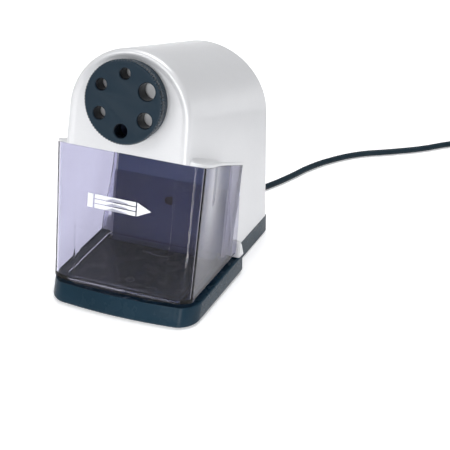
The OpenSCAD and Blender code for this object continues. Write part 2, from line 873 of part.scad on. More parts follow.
module plug_body() {
    color([0.1, 0.11, 0.13]) translate([plug_at[0], plug_at[1], 0]) {
        loft([for (k = [0:6]) let (y = [0, 5, 6, 12, 24, 35, 36][k], w = [6, 9, 14, 23, 27, 27, 26][k],
            h = [6, 8, 11, 15, 18, 18, 17][k])
            [for (a = [0:15:345]) [w / 2 * sign(cos(a)) * pow(abs(cos(a)), 0.6),
                18 - y, 9 + h / 2 * sign(sin(a)) * pow(abs(sin(a)), 0.6)]]]);
    }
}

// Two flat blades, each turned 30 degrees
module plug_pins() {
    color([0.78, 0.78, 0.8]) translate([plug_at[0], plug_at[1] - 18, 9]) for (side = [-1, 1])
        translate([side * 7, 0, 0]) rotate([0, side * 30, 0])
            translate([-0.8, -17, -3.1]) cube([1.6, 17, 6.2]);
}

base();
housing();
chassis();
drawer();
dial();
dial_bush();
dial_washer();
dial_screw();
detent_spring();
pencil_guide();
ring_gear();
cutter_carrier();
carrier_gear();
cutter_pins();
cutter_upper();
cutter_lower();
gear_plate();
shaft_bushes();
idler_gear();
idler_axle();
motor_core();
motor_coil();
rotor();
rotor_shaft();
motor_pinion();
motor_fan();
motor_brackets();
motor_bushes();
motor_screws();
thermal_cutout();
start_switch();
start_lever();
lever_pin();
drawer_switch();
switch_plunger();
terminal_block();
base_screws();
rubber_feet();
strain_relief();
cord();
cord_tail();
cord_coil();
cord_tie();
plug_body();
plug_pins();
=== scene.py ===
"""Desktop electric pencil sharpener: the looks of every piece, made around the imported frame."""
import json
import math

import bmesh
import bpy
from mathutils import Matrix, Vector

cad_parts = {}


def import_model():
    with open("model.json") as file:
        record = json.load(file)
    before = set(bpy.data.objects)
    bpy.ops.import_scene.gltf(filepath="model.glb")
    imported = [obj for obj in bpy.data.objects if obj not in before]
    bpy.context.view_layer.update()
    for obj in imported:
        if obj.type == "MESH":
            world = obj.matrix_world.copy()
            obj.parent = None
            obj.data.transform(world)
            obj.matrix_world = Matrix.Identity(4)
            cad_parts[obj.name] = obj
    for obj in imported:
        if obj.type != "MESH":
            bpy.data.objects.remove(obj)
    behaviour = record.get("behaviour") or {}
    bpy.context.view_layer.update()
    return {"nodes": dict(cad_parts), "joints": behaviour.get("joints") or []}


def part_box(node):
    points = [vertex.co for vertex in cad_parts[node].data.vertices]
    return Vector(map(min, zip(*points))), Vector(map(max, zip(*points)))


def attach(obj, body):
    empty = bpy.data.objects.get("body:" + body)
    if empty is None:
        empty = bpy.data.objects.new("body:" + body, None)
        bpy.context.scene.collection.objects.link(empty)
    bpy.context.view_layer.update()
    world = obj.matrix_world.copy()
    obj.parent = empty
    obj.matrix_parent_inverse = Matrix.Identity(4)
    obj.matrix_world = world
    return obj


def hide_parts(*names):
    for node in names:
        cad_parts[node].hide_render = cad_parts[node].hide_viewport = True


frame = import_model()
nodes = frame["nodes"]
joints = {j["name"]: j for j in frame["joints"]}
MM = 0.001

# ---- the leaning frame: x across, depth into the body, up along the front face ----
FACE = Vector(joints["dial_turn"]["pos_m"])
OUT = Vector(joints["dial_turn"]["axis"]).normalized()
TILT = math.atan2(OUT.z, -OUT.y)
UP = Vector((0, math.sin(TILT), math.cos(TILT)))


def lean(x, depth, up):
    """A point of the leaning frame, given in millimetres, in the row frame."""
    return FACE + MM * (Vector((x, 0, 0)) - depth * OUT + up * UP)


def mm(x, y, z):
    """A point given in millimetres."""
    return MM * Vector((x, y, z))


def ease(t):
    """Smooth step from 0 to 1."""
    t = min(max(t, 0.0), 1.0)
    return t * t * (3 - 2 * t)


def mix(a, b, t):
    """Value a part t of the way from a to b."""
    return a + (b - a) * t


# ---- camera ----
CAMERA_LENS, CAMERA_SENSOR = 126.45, 36
CAMERA_AT = (0.41825, -0.86761, 0.54919)
CAMERA_DOWN, CAMERA_TURN = 28.22, 23.2


def make_camera():
    """Long lens from the front right and above; angles in degrees, place in metres."""
    data = bpy.data.cameras.new("camera")
    data.lens = CAMERA_LENS
    data.sensor_width = CAMERA_SENSOR
    data.clip_end = 20
    cam = bpy.data.objects.new("camera", data)
    cam.location = CAMERA_AT
    cam.rotation_euler = (math.radians(90 - CAMERA_DOWN), 0, math.radians(CAMERA_TURN))
    bpy.context.scene.collection.objects.link(cam)
    bpy.context.scene.camera = cam


make_camera()


# ---- mesh helpers ----
def shade(obj, angle=35):
    """Smooth shading that stays sharp where faces meet at more than angle, in degrees."""
    obj.data.shade_smooth()
    obj.data.set_sharp_from_angle(angle=math.radians(angle))


def add(name, verts, faces):
    """New mesh object in the scene, with its faces turned outwards."""
    mesh = bpy.data.meshes.new(name)
    mesh.from_pydata([tuple(v) for v in verts], [], faces)
    bm = bmesh.new()
    bm.from_mesh(mesh)
    bmesh.ops.recalc_face_normals(bm, faces=bm.faces)
    bm.to_mesh(mesh)
    bm.free()
    obj = bpy.data.objects.new(name, mesh)
    bpy.context.scene.collection.objects.link(obj)
    return obj


def loft(name, rings, closed=False):
    """Skin over rings of points that have the same count; closed joins the last ring to the first."""
    n, m = len(rings[0]), len(rings)
    faces = []
    for j in range(m if closed else m - 1):
        k = (j + 1) % m
        for i in range(n):
            q = (i + 1) % n
            faces.append((j * n + i, j * n + q, k * n + q, k * n + i))
    if not closed:
        faces += [tuple(range(n)), tuple(range((m - 1) * n, m * n))]
    return add(name, [p for ring in rings for p in ring], faces)


def apply_modifiers(obj):
    """Bakes the object's modifiers into its mesh."""
    bpy.context.view_layer.update()
    graph = bpy.context.evaluated_depsgraph_get()
    mesh = bpy.data.meshes.new_from_object(obj.evaluated_get(graph))
    old = obj.data
    obj.modifiers.clear()
    obj.data = mesh
    bpy.data.meshes.remove(old)


def combine(obj, others, operation):
    """Exact boolean of obj with each of the others, which are used up."""
    for other in others:
        modifier = obj.modifiers.new("boolean", "BOOLEAN")
        modifier.operation = operation
        modifier.solver = "EXACT"
        modifier.object = other
        apply_modifiers(obj)
        bpy.data.objects.remove(other)
    return obj


def bevel(obj, width, segments=2, angle=40):
    """Rounds the sharp edges; width is in millimetres."""
    modifier = obj.modifiers.new("bevel", "BEVEL")
    modifier.width = width * MM
    modifier.segments = segments
    modifier.limit_method = "ANGLE"
    modifier.angle_limit = math.radians(angle)
    modifier.miter_outer = "MITER_ARC"
    apply_modifiers(obj)
    shade(obj, 50)
    modifier = obj.modifiers.new("normals", "WEIGHTED_NORMAL")
    modifier.keep_sharp = True
    modifier.weight = 80
    apply_modifiers(obj)
    return obj


def bar(name, at, radius, depths, sides=64):
    """Round bar along the leaning frame's depth; sizes in millimetres."""
    return loft(name, [[lean(at[0] + radius * math.cos(2 * math.pi * i / sides), depth,
                             at[1] + radius * math.sin(2 * math.pi * i / sides))
                        for i in range(sides)] for depth in depths])


def lathe(name, profile, place, sides=96):
    """Turned solid: profile is (radius, height) in millimetres, closed round an axis by place(x, y, h)."""
    rings = []
    for k in range(sides):
        a = 2 * math.pi * k / sides
        rings.append([place(r * math.cos(a), r * math.sin(a), h) for r, h in profile])
    return loft(name, rings, closed=True)


def block(name, low, high, place):
    """Box between two corners, in millimetres, put in place by a function."""
    corners = [place(x, y, z) for x in (low[0], high[0]) for y in (low[1], high[1])
               for z in (low[2], high[2])]
    return add(name, corners, [(0, 1, 3, 2), (4, 6, 7, 5), (0, 4, 5, 1), (2, 3, 7, 6),
                               (0, 2, 6, 4), (1, 5, 7, 3)])


def arc(centre, radius, start, step, count):
    """Points of a circle from a start angle, in steps, both in degrees."""
    turns = [math.radians(start + step * i) for i in range(count)]
    return [(centre[0] + radius * math.cos(a), centre[1] + radius * math.sin(a)) for a in turns]


# ---- materials ----
class Shader:
    """A node tree round one Principled shader, with the shared texture nodes."""

    def __init__(self, name, **sockets):
        self.material = bpy.data.materials.new(name)
        self.material.use_nodes = True
        self.tree = self.material.node_tree
        self.principled = self.tree.nodes["Principled BSDF"]
        for socket, value in sockets.items():
            self.principled.inputs[socket.replace("_", " ")].default_value = value
        self.place = self.tree.nodes.new("ShaderNodeTexCoord").outputs["Object"]

    def link(self, a, b):
        self.tree.links.new(a, b)

    def noise(self, scale, detail=4.0, rough=0.55, stretch=None):
        node = self.tree.nodes.new("ShaderNodeTexNoise")
        node.inputs["Scale"].default_value = scale
        node.inputs["Detail"].default_value = detail
        node.inputs["Roughness"].default_value = rough
        source = self.place
        if stretch:
            mapping = self.tree.nodes.new("ShaderNodeMapping")
            mapping.inputs["Scale"].default_value = stretch
            self.link(source, mapping.inputs["Vector"])
            source = mapping.outputs["Vector"]
        self.link(source, node.inputs["Vector"])
        return node.outputs["Fac"]

    def ramp(self, fac, low, high, start=0.35, end=0.65):
        """Colour or grey between two values as fac goes from start to end."""
        node = self.tree.nodes.new("ShaderNodeValToRGB")
        node.color_ramp.elements[0].position = start
        node.color_ramp.elements[1].position = end
        for element, value in zip(node.color_ramp.elements, (low, high)):
            element.color = value if hasattr(value, "__len__") else (value, value, value, 1)
        self.link(fac, node.inputs["Fac"])
        return node.outputs["Color"]

    def colour(self, fac, low, high, start=0.3, end=0.7):
        self.link(self.ramp(fac, (*low, 1), (*high, 1), start, end), self.principled.inputs["Base Color"])

    def roughness(self, fac, low, high):
        self.link(self.ramp(fac, low, high), self.principled.inputs["Roughness"])

    def bump(self, fac, strength, distance):
        """distance is in millimetres."""
        node = self.tree.nodes.new("ShaderNodeBump")
        node.inputs["Strength"].default_value = strength
        node.inputs["Distance"].default_value = distance * MM
        self.link(fac, node.inputs["Height"])
        self.link(node.outputs["Normal"], self.principled.inputs["Normal"])


def moulded(name, low, high, rough=(0.38, 0.5), grain=2600, depth=0.02, strength=0.25, **sockets):
    """Moulded plastic or paint: slow colour drift, fine spark-eroded grain, uneven gloss."""
    s = Shader(name, **sockets)
    s.colour(s.noise(14, 3), low, high)
    s.roughness(s.noise(90, 4), *rough)
    s.bump(s.noise(grain, 3), strength, depth)
    return s.material


def metal(name, low, high, rough=(0.22, 0.4), stretch=(1, 1, 1), grain=700):
    """Bright metal with drawn or ground lines along the axis that stretch leaves small."""
    s = Shader(name, Metallic=1.0)
    s.colour(s.noise(60, 4), low, high)
    s.roughness(s.noise(grain, 5, 0.6, stretch), *rough)
    s.bump(s.noise(grain, 5, 0.6, stretch), 0.15, 0.01)
    return s.material


def silver_paint():
    """Satin silver lacquer with a fine metallic flake."""
    s = Shader("silver_paint", Metallic=0.25, Specular_IOR_Level=0.5)
    s.principled.inputs["Coat Weight"].default_value = 0.35
    s.principled.inputs["Coat Roughness"].default_value = 0.22
    s.colour(s.noise(5200, 2), (0.66, 0.665, 0.68), (0.76, 0.765, 0.78))
    s.roughness(s.noise(45, 3), 0.36, 0.44)
    s.bump(s.noise(3400, 2), 0.12, 0.01)
    return s.material


def smoke_plastic():
    """Clear polystyrene with a lavender-grey smoke tint and faint handling haze."""
    s = Shader("smoke_plastic", Transmission_Weight=1.0, IOR=1.26)
    s.colour(s.noise(9, 2), (0.665, 0.66, 0.76), (0.705, 0.70, 0.80))
    s.roughness(s.noise(55, 5), 0.0, 0.025)
    s.bump(s.noise(30, 2), 0.02, 0.02)
    return s.material


def laminations():
    """Stacked iron sheets: fine bands across the motor's depth."""
    s = Shader("laminations", Metallic=0.8)
    wave = s.tree.nodes.new("ShaderNodeTexWave")
    wave.bands_direction = "Y"
    wave.inputs["Scale"].default_value = 300
    wave.inputs["Distortion"].default_value = 0.6
    s.link(s.place, wave.inputs["Vector"])
    s.colour(wave.outputs["Fac"], (0.13, 0.13, 0.14), (0.30, 0.30, 0.32))
    s.roughness(s.noise(200, 4), 0.35, 0.6)
    s.bump(wave.outputs["Fac"], 0.4, 0.05)
    return s.material


def winding():
    """Turns of enamelled copper wire under clear tape."""
    s = Shader("winding", Metallic=0.7)
    wave = s.tree.nodes.new("ShaderNodeTexWave")
    wave.bands_direction = "X"
    wave.inputs["Scale"].default_value = 420
    wave.inputs["Distortion"].default_value = 1.2
    s.link(s.place, wave.inputs["Vector"])
    s.colour(wave.outputs["Fac"], (0.22, 0.08, 0.03), (0.62, 0.28, 0.11))
    s.roughness(s.noise(150, 3), 0.25, 0.45)
    s.bump(wave.outputs["Fac"], 0.5, 0.1)
    return s.material


def cord_jacket():
    """Soft blue-black jacket with a dull bloom and extrusion texture."""
    s = Shader("cord_jacket", Specular_IOR_Level=0.2)
    s.colour(s.noise(70, 4), (0.006, 0.018, 0.028), (0.011, 0.027, 0.039))
    s.roughness(s.noise(240, 4), 0.42, 0.6)
    s.bump(s.noise(1500, 3), 0.25, 0.03)
    return s.material


SILVER = silver_paint()
SMOKE = smoke_plastic()
CHARCOAL = moulded("charcoal_plastic", (0.009, 0.026, 0.042), (0.013, 0.034, 0.054), (0.22, 0.3),
                   1800, 0.01, 0.06, Specular_IOR_Level=0.12)
BLUE_BLACK = (0.006, 0.018, 0.031), (0.009, 0.024, 0.039)
DIAL = moulded("dial_plastic", *BLUE_BLACK, (0.45, 0.52), 2600, 0.01, 0.15, Specular_IOR_Level=0.22)
GLOSS_BLACK = moulded("gloss_black", (0.004, 0.007, 0.012), (0.007, 0.011, 0.018), (0.2, 0.28),
                      900, 0.005, 0.05, Specular_IOR_Level=0.3)
DIAL_RIM = moulded("dial_rim", *BLUE_BLACK, (0.12, 0.18), 900, 0.005, 0.05, Specular_IOR_Level=0.5)
INNER_DARK = moulded("inner_dark", (0.098, 0.122, 0.225), (0.112, 0.142, 0.262), (0.6, 0.7),
                     700, 0.01, 0.08, Specular_IOR_Level=0.2)
NYLON = moulded("gear_nylon", (0.70, 0.66, 0.55), (0.80, 0.77, 0.67), (0.35, 0.5), 900,
                Subsurface_Weight=0.15, Subsurface_Scale=0.002)
SWITCH_BLACK = moulded("switch_black", (0.018, 0.018, 0.02), (0.03, 0.03, 0.034))
BLOCK_WHITE = moulded("block_white", (0.74, 0.74, 0.71), (0.82, 0.82, 0.79), (0.4, 0.55))
RUBBER = moulded("foot_rubber", (0.016, 0.016, 0.016), (0.03, 0.03, 0.03), (0.7, 0.85), 1200, 0.05, 0.5)
STRAP = moulded("tie_strap", (0.012, 0.012, 0.014), (0.022, 0.022, 0.026), (0.75, 0.9), 1400, 0.15, 0.8)
PRINT = moulded("white_print", (0.80, 0.81, 0.84), (0.87, 0.88, 0.90), (0.45, 0.6), 1500, 0.01, 0.2)
JACKET = cord_jacket()
STEEL = metal("steel", (0.52, 0.53, 0.55), (0.66, 0.67, 0.69))
CUTTER_STEEL = metal("cutter_steel", (0.32, 0.33, 0.36), (0.46, 0.47, 0.50), (0.18, 0.3))
BRONZE = metal("bronze", (0.42, 0.27, 0.12), (0.55, 0.38, 0.19), (0.35, 0.5))
SPRING = metal("spring_brass", (0.56, 0.46, 0.24), (0.68, 0.57, 0.34), (0.25, 0.35))
NICKEL = metal("nickel", (0.60, 0.59, 0.56), (0.72, 0.71, 0.69), (0.12, 0.24), (1, 12, 1))
LAMINATIONS = laminations()
WINDING = winding()

CAD_MATERIALS = {
    INNER_DARK: ["chassis", "pencil_guide"],
    NYLON: ["dial_bush", "ring_gear", "carrier_gear", "idler_gear", "motor_fan"],
    SPRING: ["detent_spring"],
    STEEL: ["gear_plate", "idler_axle", "motor_brackets", "motor_screws", "lever_pin", "base_screws",
            "dial_washer", "dial_screw", "rotor_shaft", "cutter_carrier", "cutter_pins", "start_lever"],
    CUTTER_STEEL: ["cutter_upper", "cutter_lower"],
    BRONZE: ["shaft_bushes", "motor_bushes", "motor_pinion"],
    LAMINATIONS: ["motor_core", "rotor"],
    WINDING: ["motor_coil"],
    BLOCK_WHITE: ["thermal_cutout", "terminal_block"],
    SWITCH_BLACK: ["start_switch", "drawer_switch", "switch_plunger"],
    RUBBER: ["rubber_feet"],
}
for material, names in CAD_MATERIALS.items():
    for cad_name in names:
        for slot in nodes[cad_name].material_slots:
            slot.material = material


def finish_piece(obj, material, body, slot, *replaced):
    """Gives a piece its material and its body, and hides the CAD nodes that it stands for; slot is not used.
    """
    obj.data.materials.clear()
    obj.data.materials.append(material)
    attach(obj, body)
    if replaced:
        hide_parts(*replaced)
    return obj


# ---- mains lead: the route, the coil and the tail, as in the part's source ----
CORD_D = 4.5
LIE = CORD_D / 2 + 0.05
ROUTE = [
    (0, 104, 9), (3, 115, 6.5), (10, 125, 3.5), (18, 134, LIE), (25, 146, LIE), (32, 162, LIE),
    (40, 183, LIE), (51, 202, LIE), (68, 221, LIE), (89, 235, LIE), (110, 250, LIE),
    (129, 268, LIE), (150, 284, LIE), (165, 290, LIE),
]
TAIL = [
    (188, 291.5, 9.4), (200, 291.5, 4.8), (209, 291.5, 2.8), (218, 289.5, 2.4),
    (226.4, 283.9, 3.4), (232, 275.5, 6.2), (234, 266, 8.6), (234, 262, 9),
]
COIL_CENTRE = (176, 262)
COIL_MID = 25
# Column and layer of each turn, from the outer bottom one to the outer top one
TURNS = [(1, 0), (0, 0), (-1, 0), (-1, 1), (-1, 2), (0, 2), (0, 1), (1, 1), (1, 2)]
STEPS = 24
SHIFT_FROM = 0.8


def coil_points():
    """Turns of the coil in order; the last part of each turn moves over to the next place."""
    points = []
    for turn, (column, layer) in enumerate(TURNS):
        following = TURNS[min(turn + 1, len(TURNS) - 1)]
        for step in range(STEPS):
            part = step / STEPS
            shift = ease((part - SHIFT_FROM) / (1 - SHIFT_FROM))
            r = COIL_MID + CORD_D * mix(column, following[0], shift)
            z = LIE + CORD_D * mix(layer, following[1], shift)
            a = math.radians(90) - 2 * math.pi * part
            points.append((COIL_CENTRE[0] + r * math.cos(a), COIL_CENTRE[1] + r * math.sin(a), z))
    last = TURNS[-1]
    points.append((COIL_CENTRE[0], COIL_CENTRE[1] + COIL_MID + CORD_D * last[0], LIE + CORD_D * last[1]))
    return points


def make_cord():
    """The lead in one curve: route, coil and tail."""
    curve = bpy.data.curves.new("mains_lead", "CURVE")
    curve.dimensions = "3D"
    curve.bevel_depth = CORD_D / 2 * MM
    curve.bevel_resolution = 5
    curve.resolution_u = 4
    points = ROUTE + coil_points() + TAIL
    spline = curve.splines.new("BEZIER")
    spline.bezier_points.add(len(points) - 1)
    for knot, point in zip(spline.bezier_points, points):
        knot.co = mm(*point)
        knot.handle_left_type = knot.handle_right_type = "AUTO"
    obj = bpy.data.objects.new("mains_lead", curve)
    bpy.context.scene.collection.objects.link(obj)
    return finish_piece(obj, JACKET, "frame", "cord_rubber", "cord", "cord_coil", "cord_tail")


def make_strain_relief():
    """Tapered sleeve with cut rings, like those that let the real sleeve flex, and a collar at the base."""
    exit_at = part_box("strain_relief")[0]
    start = exit_at.y / MM
    profile = [(0, 0), (5.6, 0), (6, 0.4), (6, 2.6), (5.6, 3), (4.2, 4.6), (4.2, 8.05), (4.9, 8.3),
               (5.1, 9.2), (4.9, 10.3)]
    rings, first, last = 8, 12.0, 34.6
    for k in range(rings):
        low = first + (last - first) * k / rings
        pitch = (last - first) / rings
        r = mix(4.5, 3.2, (k + 0.5) / rings)
        profile += [(r - 0.75, low), (r - 0.75, low + pitch * 0.3), (r, low + pitch * 0.42),
                    (r - 0.05, low + pitch * 0.9)]
    profile += [(3.1, 35.2), (2.9, 35.9), (2.4, 36), (0, 36)]
    obj = lathe("strain_relief_sleeve", profile, lambda x, y, h: mm(x, start + h, ROUTE[0][2] + y), 48)
    shade(obj, 40)
    return finish_piece(obj, JACKET, "frame", "cord_rubber", "strain_relief")


def make_tie():
    """Hook-and-loop strap round the coil, as a closed band."""
    low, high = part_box("cord_tie")
    centre = (low + high) / 2 / MM
    half_y, half_z = (high.y - low.y) / 2 / MM, (high.z - low.z) / 2 / MM
    thick, width, edge, count = 0.8, 6.0, 0.25, 64
    squareness = 0.42

    def loop_point(i, inset):
        a = 2 * math.pi * i / count
        c, s = math.cos(a), math.sin(a)
        y = (half_y - inset) * math.copysign(abs(c) ** squareness, c)
        z = (half_z - inset) * math.copysign(abs(s) ** squareness, s)
        return centre.y + y, centre.z + z

    rings = []
    for i in range(count):
        outer, inner = loop_point(i, 0), loop_point(i, thick)
        middle = (outer[0] + inner[0]) / 2, (outer[1] + inner[1]) / 2
        w = width / 2
        section = ((-w + edge, outer), (w - edge, outer), (w, middle), (w - edge, inner),
                   (-w + edge, inner), (-w, middle))
        rings.append([mm(centre.x + dx, y, z) for dx, (y, z) in section])
    obj = loft("coil_tie", rings, closed=True)
    shade(obj, 60)
    return finish_piece(obj, STRAP, "frame", "tie_black", "cord_tie")


def make_plug():
    """Moulded two-pole plug: domed body, waist with grip ridges, sleeve for the lead."""
    low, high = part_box("plug_body")
    centre = (low + high) / 2 / MM
    rear = high.y / MM
    # Distance from the lead's end, width, height and how round the section is
    stations = [(0, 5.2, 5.2, 1), (0.5, 5.9, 5.9, 1), (4.8, 6.2, 6.2, 1), (5.6, 8, 7.4, 0.95),
                (7.5, 13, 10.4, 0.85), (11, 20.5, 14, 0.7), (16, 25, 16.4, 0.62), (20, 26.2, 17.2, 0.6),
                (28, 26.9, 17.9, 0.58), (33.6, 27, 18, 0.56), (35.2, 26.6, 17.6, 0.56),
                (36, 25.4, 16.4, 0.56)]
    grip_from, grip_to, grips, grip_depth = 15, 29, 9, 0.45
    fine = []
    for k in range(len(stations) - 1):
        a, b = stations[k], stations[k + 1]
        steps = 4 if b[0] - a[0] > 3 else 2
        fine += [tuple(mix(p, q, i / steps) for p, q in zip(a, b)) for i in range(steps)]
    fine.append(stations[-1])
    rings = []
    for y, w, h, power in fine:
        ring = []
        for i in range(64):
            a = 2 * math.pi * i / 64
            c, s = math.cos(a), math.sin(a)
            grip = 0
            if grip_from < y < grip_to and abs(c) > 0.8:
                wave = math.sin((y - grip_from) / (grip_to - grip_from) * math.pi * grips)
                grip = grip_depth * max(0, wave)
            ring.append(mm(centre.x + (w / 2 - grip) * math.copysign(abs(c) ** power, c), rear - y,
                           centre.z + h / 2 * math.copysign(abs(s) ** power, s)))
        rings.append(ring)
    obj = loft("plug_moulding", rings)
    shade(obj, 35)
    return finish_piece(obj, JACKET, "frame", "cord_rubber", "plug_body")


def make_blades():
    """Two flat pins with chamfered tips and cross holes, each turned 30 degrees."""
    low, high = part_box("plug_pins")
    centre = (low + high) / 2 / MM
    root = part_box("plug_body")[0].y / MM
    length = root - low.y / MM
    half_pitch, half_thick, half_wide, hole_r = 7, 0.8, 3.1, 1.6
    made = None
    for side in (-1, 1):
        turn = math.radians(30 * side)

        def place(x, y, z, turn=turn, side=side):
            return mm(centre.x + half_pitch * side + x * math.cos(turn) + z * math.sin(turn), root - y,
                      centre.z - x * math.sin(turn) + z * math.cos(turn))

        rings = []
        for y, cut in [(-1, 0), (length - 3.2, 0), (length - 1.2, 0.35), (length, 1.5)]:
            w, h = half_thick - 0.35 * min(cut, 1), half_wide - cut
            rings.append([place(x, y, z) for x, z in ((-w, -h), (w, -h), (w, h), (-w, h))])
        blade = loft("plug_blades", rings)
        turns = [math.pi * i / 12 for i in range(24)]
        hole = [[place(x, length - 5 + hole_r * math.cos(a), hole_r * math.sin(a)) for a in turns]
                for x in (-2, 2)]
        combine(blade, [loft("hole", hole)], "DIFFERENCE")
        made = combine(made, [blade], "UNION") if made else blade
    bevel(made, 0.15)
    return finish_piece(made, NICKEL, "frame", "blade_nickel", "plug_pins")


lead = make_cord()
relief = make_strain_relief()
tie = make_tie()
plug = make_plug()
blades = make_blades()

# ---- sizes shared by the housing, the base and the drawer, in millimetres, as in the part's source ----
FRONT_HALF, ARCH_DROP, REAR_HALF, REAR_Y, REAR_ARCH_Z = 43.2, 10.5, 46.2, 76.0, 95.5
LEG, LEG_SPREAD, WALL = 150.0, 3.6, 2.2
SHELL_LOW = 13.8
LEDGE_DROP, LEDGE_SLOPE, WING_END = 35.2, math.radians(23.7), 94.0
ARCH_STEPS, LEG_STEPS, BODY_STEPS = 96, 10, 10
CORNER_HALF, CORNER_Y, BLEND_END, FLUSH_HALF, FOOT_HALF = 53.2, 9.5, 62.0, 45.7, 50.6
CORNER_Z, DRAFT, CORNER_X = 103.0, 0.03, 19.0
FRONT_BOW = 1.6
BASE_HALF, BASE_FRONT, BASE_BOW, BASE_CORNER, BASE_STEP, BASE_H = 53.6, -76.0, 4.2, 14.5, 14.5, 14.2
FOOT_H, LUG_H, LUG_FRONT, LUG_LEAN = 0.8, 9.5, 8.2, 3.6
DRAWER_TILT = math.radians(11.7)
DRAWER_LOW, DRAWER_WALL, DRAWER_BACK = 17.5, 2.0, 76.4
PAN_HALF, PAN_FRONT, PAN_LOW, PAN_T, GAP = 43.0, -66.0, 14.6, 1.8, 0.4
FAR = 90
LEAD_Z = ROUTE[0][2]
FLANK_IN, FLANK_OUT, FLANK_FROM = 41.0, 43.0, 45
FEET_X, FEET_Y, SCREWS_X, SCREWS_Y = (-38, 38), (-56, 62), (-34, 34), 10
FOOT_R, SCREW_HEAD_R, SCREW_R, SEAT_DEPTH = 6.2, 3.4, 1.7, 2.0
HOLE_PITCH, SEAT_R, BUSH_HOLE_R, GUIDE_HOLE_R = 18.45, 29.6, 8.1, 8.2
VENT_HALF, VENT_R, VENT_LOW, VENT_HIGH, VENT_PITCH = 17.5, 1.5, 44, 100, 8


# ---- housing ----
def arch(r, up, foot):
    """Half circle on two straight legs, which spread by foot at their ends."""
    steps = [math.pi * i / ARCH_STEPS for i in range(ARCH_STEPS, -1, -1)]
    legs = [i / LEG_STEPS for i in range(LEG_STEPS, 0, -1)]
    left = [(-r - foot * k, up - LEG * k) for k in legs]
    crown = [(r * math.cos(a), up + r * math.sin(a)) for a in steps]
    return left + crown + [(r + foot * k, up - LEG * k) for k in reversed(legs)]


def front_ring(inset, depth):
    """Section of the housing in the leaning frame."""
    return [lean(x, depth, up) for x, up in arch(FRONT_HALF - inset, -ARCH_DROP, LEG_SPREAD)]


def rear_ring(inset, back):
    """Upright section of the housing, back millimetres in front of the rear wall."""
    return [mm(x, REAR_Y - back, z) for x, z in arch(REAR_HALF - inset, REAR_ARCH_Z, 0)]


LEDGE_AT = lean(0, 0, -LEDGE_DROP)


def ledge(x, along, lift):
    """A point of the ledge's frame: along runs back down the ledge, lift stands square to it."""
    c, s = math.cos(LEDGE_SLOPE), math.sin(LEDGE_SLOPE)
    return LEDGE_AT + MM * Vector((x, along * c + lift * s, lift * c - along * s))


def zone(name):
    """The space that the drawer fills, as a block under the ledge and up to the wings' ends."""
    return block(name, (-FAR, -FAR, -190), (FAR, WING_END, 0), ledge)


def below(name, z):
    """Everything under a height of the row frame."""
    return block(name, (-150, -150, -150), (150, 150, z), mm)


def before(name, depth, near=-100):
    """Everything in front of a depth of the leaning frame."""
    return block(name, (-FAR, near, -190), (FAR, depth, 60), lean)


def behind(name, depth):
    """Everything behind a depth of the leaning frame."""
    return block(name, (-FAR, depth, -190), (FAR, 300, 60), lean)


def blend(depth):
    """How far the drawer's side still stands out at a depth: 1 at its corner, 0 where it is flush."""
    if depth < CORNER_Y:
        return 1.0
    if depth > BLEND_END:
        return 0.0
    return 0.5 + 0.5 * math.cos(math.pi * (depth - CORNER_Y) / (BLEND_END - CORNER_Y))


def side_points(half, rear, inset):
    """Right side of the drawer's plan, from the middle of the front to the rear."""
    across = [(half - CORNER_X) * i / 12 for i in range(13)]
    points = [(x, inset + FRONT_BOW * (x / half) ** 2) for x in across]
    for i in range(1, 25):
        a = math.radians(-90 + 90 * i / 24)
        points.append((half - inset + (CORNER_X - inset) * (math.cos(a) - 1),
                       FRONT_BOW + (CORNER_Y - 2) * (1 + math.sin(a)) - inset * math.sin(a)))
    for i in range(1, 21):
        depth = CORNER_Y + (BLEND_END + 3 - CORNER_Y) * i / 20
        points.append((rear - inset + (half - rear) * blend(depth), depth))
    return points + [(rear - inset, BLEND_END + 12), (rear - inset, 120)]


def outline(half, rear, inset):
    """The whole plan, both sides."""
    side = side_points(half, rear, inset)
    return side + [(-x, y) for x, y in reversed(side[1:])]


def make_flange():
    """Ledge over the drawer that sweeps up into the housing's side in a hollow curve."""
    edge, inward = outline(CORNER_HALF, FLUSH_HALF, 0.0), outline(CORNER_HALF, FLUSH_HALF, 1.0)
    # Where the sweep ends: behind the edge across the front, beside the housing's legs further back
    behind_edge, corner_width, spread = 2.6, 22, 0.024
    roots = []
    for x, depth in edge:
        round_corner = ease((abs(x) - (CORNER_HALF - CORNER_X)) / corner_width)
        beside = min(abs(x), FRONT_HALF + spread * depth - 0.6)
        roots.append((math.copysign(beside, x), depth + behind_edge * (1 - round_corner)))

    def ring(k, lift, inset=0.0):
        points = []
        for p, q, root in zip(edge, inward, roots):
            x, depth = (mix(mix(p[i], q[i], inset), root[i], k) for i in (0, 1))
            points.append(ledge(x, depth / math.cos(LEDGE_SLOPE - TILT), lift))
        return points

    rings = [ring(0, -0.5), ring(0, 1.1), ring(0, 1.6, 0.15), ring(0, 1.9, 0.5)]
    for i in range(1, 11):
        k = i / 10
        rings.append(ring(k, 2.0 + 4.2 * max(0, (k - 0.25) / 0.75) ** 2.4, 0.5 * (1 - k)))
    obj = loft("flange", rings)
    rest = block("behind", (-FAR, WING_END + 0.3, -FAR), (FAR, 250, FAR), ledge)
    return combine(obj, [rest], "DIFFERENCE")


def flank_block(name, side, low, high):
    """Block of the ledge's frame on one side of the housing."""
    return block(name, low, high, lambda x, y, z: ledge(side * x, y, z))


def flank_wall(side):
    """Recessed wall that the drawer's wing slides over."""
    plate = flank_block("flank", side, (FLANK_IN, FLANK_FROM, -95), (FLANK_OUT, WING_END + 3, 2.5))
    in_front = before("in_front", DRAWER_BACK + 0.6, -50)
    combine(in_front, [block("above", (-FAR, -FAR, 0), (FAR, 200, 120), ledge)], "DIFFERENCE")
    return combine(plate, [in_front], "DIFFERENCE")


